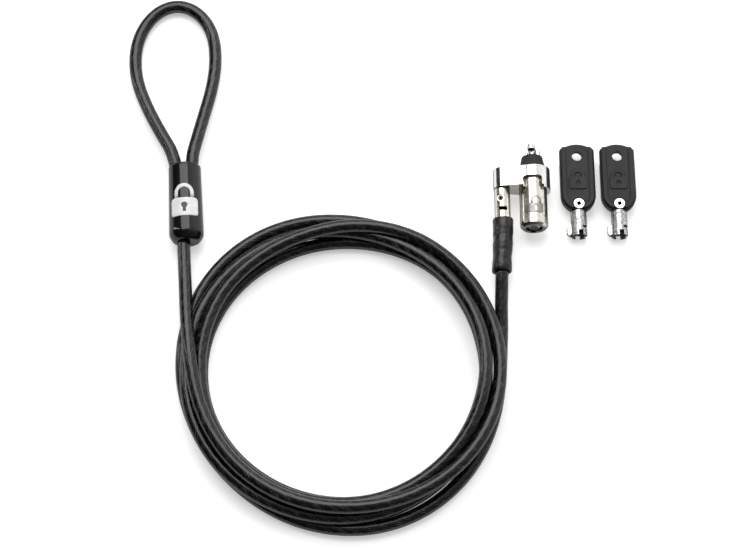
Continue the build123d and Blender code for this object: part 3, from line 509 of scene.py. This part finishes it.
# ---------------------------------------------------------------- shrink tube
def shrink_tube():
    """Wavy shrink tube, drawn down on the terminal and the cable, flared at its lower end."""
    lean = [(-0.9, -22.45), (-9.0, -22.5), (-12.0, -22.6), (-14.0, -22.76), (-17.3, -22.92), (-21.1, -23.16), (-25.0, -23.38)]
    drop = [(-0.9, 6.3), (-20.0, 6.3), (-22.5, 6.15), (-25.0, 5.85)]

    def centre(table, y):
        for (ya, va), (yb, vb) in zip(table, table[1:]):
            if y >= yb:
                return (va + (vb - va) * (ya - y) / (ya - yb)) * 0.001
        return table[-1][1] * 0.001

    outer = [(-4.8, 3.35), (-4.86, 3.62), (-5.05, 3.74), (-5.6, 3.74), (-8.0, 3.72), (-10.2, 3.62), (-11.8, 3.50), (-12.8, 3.53),
             (-14.2, 3.64), (-15.6, 3.60), (-17.6, 3.43), (-19.4, 3.42), (-21.0, 3.46), (-22.8, 3.54), (-24.1, 3.60), (-24.6, 3.58), (-24.8, 3.44)]
    inner = [(-24.7, 3.1), (-24.0, 2.75), (-22.8, 2.48), (-18.0, 2.44), (-12.6, 2.44), (-12.02, 2.88), (-8.0, 2.88), (-4.9, 2.9)]
    n = 72
    ys, profile = [], []
    for a, b in zip(outer, outer[1:]):
        steps = max(1, round(abs(b[0] - a[0]) / 0.3))
        for k in range(steps):
            f = k / steps
            g = f * f * (3 - 2 * f)
            profile.append((a[0] + (b[0] - a[0]) * f, a[1] + (b[1] - a[1]) * g, True))
    profile.append((*outer[-1], True))
    profile += [(*p, False) for p in inner]
    verts, faces = [], []
    for y, r, out in profile:
        for j in range(n):
            a = 2 * math.pi * j / n
            rr = r
            if out:
                edge = min(1.0, max(0.0, (-4.9 - y) / 1.2)) * min(1.0, max(0.0, (y + 24.8) / 1.0))
                d = noise.noise(Vector((math.cos(a) * 1.1, math.sin(a) * 1.1, y * 0.33)))
                e = noise.noise(Vector((math.cos(a) * 2.3 + 7, math.sin(a) * 2.3, y * 0.9)))
                rr += edge * (0.20 * d + 0.07 * e)
                rr = min(rr, 3.78)
            on_terminal = not out and y > -12.3
            cx = -0.0225 if on_terminal else centre(lean, y)
            cz = 0.0063 if on_terminal else centre(drop, y)
            verts.append((cx + rr * 0.001 * math.cos(a), y * 0.001, cz + rr * 0.001 * math.sin(a)))
    m = len(profile)
    for i in range(m):
        k = (i + 1) % m
        for j in range(n):
            l = (j + 1) % n
            faces.append((i * n + j, k * n + j, k * n + l, i * n + l))
    obj = mesh_object("shrink_tube", verts, faces)
    obj.data.materials.append(SHRINK)
    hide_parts("heat_shrink")
    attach(obj, "root")
    return obj


shrink_tube()


# ---------------------------------------------------------------- generic padlock sign
def padlock_patch(name, place, width, height, mat, body, steps=30):
    """Padlock silhouette as a thin raised patch; place(u, v, lift) gives a point on the carrier."""
    # body and shackle as strips of quads between an inner and an outer outline
    bw, bh = width, height * 0.56
    r = width * 0.12
    outline = []
    def arc(cx, cy, rad, a0, a1, k):
        return [(cx + rad * math.cos(a0 + (a1 - a0) * i / k), cy + rad * math.sin(a0 + (a1 - a0) * i / k)) for i in range(k + 1)]
    y0 = -height / 2
    body_outline = (arc(bw / 2 - r, y0 + r, r, -math.pi / 2, 0, 8) + arc(bw / 2 - r, y0 + bh - r, r, 0, math.pi / 2, 8)
                    + arc(-bw / 2 + r, y0 + bh - r, r, math.pi / 2, math.pi, 8) + arc(-bw / 2 + r, y0 + r, r, math.pi, 1.5 * math.pi, 8))
    top = height / 2
    ro = bw * 0.34
    ri = ro - bw * 0.13
    cy = top - ro
    y1 = y0 + bh
    shackle_outer = [(ro, y1)] + arc(0, cy, ro, 0, math.pi, 28) + [(-ro, y1)]
    shackle_inner = [(-ri, y1)] + arc(0, cy, ri, math.pi, 0, 28) + [(ri, y1)]
    hole_y = y0 + bh * 0.58
    verts, faces = [], []

    def strip(a, b):
        """Quads between two polylines of the same length, cut finely enough to bend."""
        rows = 6
        base = len(verts)
        for i in range(rows + 1):
            f = i / rows
            for p, q in zip(a, b):
                verts.append((p[0] + (q[0] - p[0]) * f, p[1] + (q[1] - p[1]) * f))
        n = len(a)
        for i in range(rows):
            for j in range(n - 1):
                faces.append((base + i * n + j, base + i * n + j + 1, base + (i + 1) * n + j + 1, base + (i + 1) * n + j))

    # body as a ring from a keyhole to the outline
    n = 96
    def on_outline(t):
        return body_outline_at(t)
    pts = body_outline + [body_outline[0]]
    def ray(angle):
        """Where a ray from the keyhole meets the outline."""
        d = (math.cos(angle), math.sin(angle))
        best = None
        for (ax, ay), (bx, by) in zip(pts, pts[1:]):
            ax, ay, bx, by = ax, ay - hole_y, bx, by - hole_y
            ex, ey = bx - ax, by - ay
            den = d[0] * ey - d[1] * ex
            if abs(den) < 1e-12:
                continue
            t = (ax * ey - ay * ex) / den
            s = (ax * d[1] - ay * d[0]) / den
            if t > 0 and -1e-9 <= s <= 1 + 1e-9 and (best is None or t < best):
                best = t
        return (d[0] * best, d[1] * best + hole_y)
    kr = bw * 0.10
    def keyhole(angle):
        # round hole with a slot under it
        d = (math.cos(angle), math.sin(angle))
        rad = kr
        down = -d[1]
        if down > 0.55:
            w = kr * 0.55
            rad = max(kr, min(w / max(abs(d[0]), 1e-6), kr * 2.3 / max(down, 1e-6)))
        return (d[0] * rad, d[1] * rad + hole_y)
    angles = [2 * math.pi * i / n + 0.001 for i in range(n + 1)]
    strip([keyhole(a) for a in angles], [ray(a) for a in angles])
    strip([(x, y) for x, y in shackle_outer], list(reversed(shackle_inner)))
    flat = list(verts)
    lift = 0.00004
    front = [place(u, v, lift) for u, v in flat]
    back = [place(u, v, -lift) for u, v in flat]
    m = len(flat)
    all_faces = [tuple(f) for f in faces] + [tuple(m + i for i in reversed(f)) for f in faces]
    # close the borders
    edges = {}
    for f in faces:
        for a, b in zip(f, f[1:] + f[:1]):
            edges[(a, b)] = True
    for a, b in list(edges):
        if (b, a) not in edges:
            all_faces.append((b, a, m + a, m + b))
    obj = mesh_object(name, front + back, all_faces, smooth=False)
    for p in obj.data.polygons:
        p.use_smooth = len(p.vertices) == 4
    import bmesh
    bm = bmesh.new()
    bm.from_mesh(obj.data)
    bmesh.ops.remove_doubles(bm, verts=bm.verts, dist=1e-7)
    bmesh.ops.recalc_face_normals(bm, faces=bm.faces)
    bm.to_mesh(obj.data)
    bm.free()
    obj.data.materials.append(mat)
    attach(obj, body)
    return obj


sleeve_axis = Vector((-0.0622, 0.998, -0.009)).normalized()
sleeve_base = Vector((-0.13615, -0.01375, 0.0062))
sleeve_x = Vector((0.998, 0.0622, 0.0))
sleeve_z = sleeve_x.cross(sleeve_axis)


def on_sleeve(u, v, lift):
    """u across and v along, on the sleeve's upper side."""
    along = 0.0145 + v
    r = 0.00625 + (0.0059 - 0.00625) * (along - 0.0042) / (0.0285 - 0.0042) + lift + 0.00002
    a = u / r
    return sleeve_base + sleeve_axis * along + sleeve_x * (r * math.sin(a)) + sleeve_z * (r * math.cos(a))


badge = padlock_patch("sleeve_badge", on_sleeve, 0.0108, 0.0126, WHITE, "root")


def on_barrel(u, v, lift):
    r = 0.0050 + lift + 0.00001
    a = u / r + math.radians(5)
    return Vector((-0.01125 + r * math.sin(a), -0.0006 + v, 0.0063 + r * math.cos(a)))


mark = padlock_patch("barrel_mark", on_barrel, 0.0056, 0.0066, ETCH, "barrel")

# ---------------------------------------------------------------- floor and light
floor = mesh_object("floor", [(-2, -2, 0), (2, -2, 0), (2, 2, 0), (-2, 2, 0)], [(0, 1, 2, 3)], smooth=False)
floor_mat = bpy.data.materials.new("floor")
floor_mat.use_nodes = True
fb = floor_mat.node_tree.nodes["Principled BSDF"]
fb.inputs["Base Color"].default_value = (0.93, 0.93, 0.93, 1)
fb.inputs["Roughness"].default_value = 0.85
fb.inputs["Specular IOR Level"].default_value = 0.1
fb.inputs["Emission Color"].default_value = (1, 1, 1, 1)
fb.inputs["Emission Strength"].default_value = 0.42
floor.data.materials.append(floor_mat)

world = bpy.data.worlds.new("world")
world.use_nodes = True
wn = world.node_tree
background = wn.nodes["Background"]
wtc = node(wn, "ShaderNodeTexCoord")
wsep = node(wn, "ShaderNodeSeparateXYZ")
wn.links.new(wtc.outputs["Generated"], wsep.inputs[0])
side = remap(wn, wsep.outputs[0], 0.03, 1.0, -0.8, 0.8)
back = remap(wn, wsep.outputs[1], 0.22, 1.9, -0.45, 0.95)
wn.links.new(math_node(wn, "MULTIPLY", side, back), background.inputs["Strength"])
background.inputs["Color"].default_value = (1.0, 1.0, 1.0, 1)
scene.world = world


def area(name, location, target, size, energy, size_y=None, colour=(1, 1, 1)):
    data = bpy.data.lights.new(name, "AREA")
    data.shape = "RECTANGLE"
    data.size, data.size_y = size, size_y or size
    data.energy = energy
    data.color = colour
    obj = link(bpy.data.objects.new(name, data))
    obj.location = location
    obj.rotation_euler = (Vector(target) - Vector(location)).to_track_quat("-Z", "Y").to_euler()
    return obj


area("top_softbox", (-0.19, 0.50, 0.88), (-0.05, 0.0, 0.0), 0.92, 8.2, 0.78)
area("left_rim", (-0.95, 0.25, 0.42), (-0.10, 0.0, 0.0), 0.035, 1.0, 0.80)

scene.view_settings.view_transform = "Standard"
scene.view_settings.look = "None"
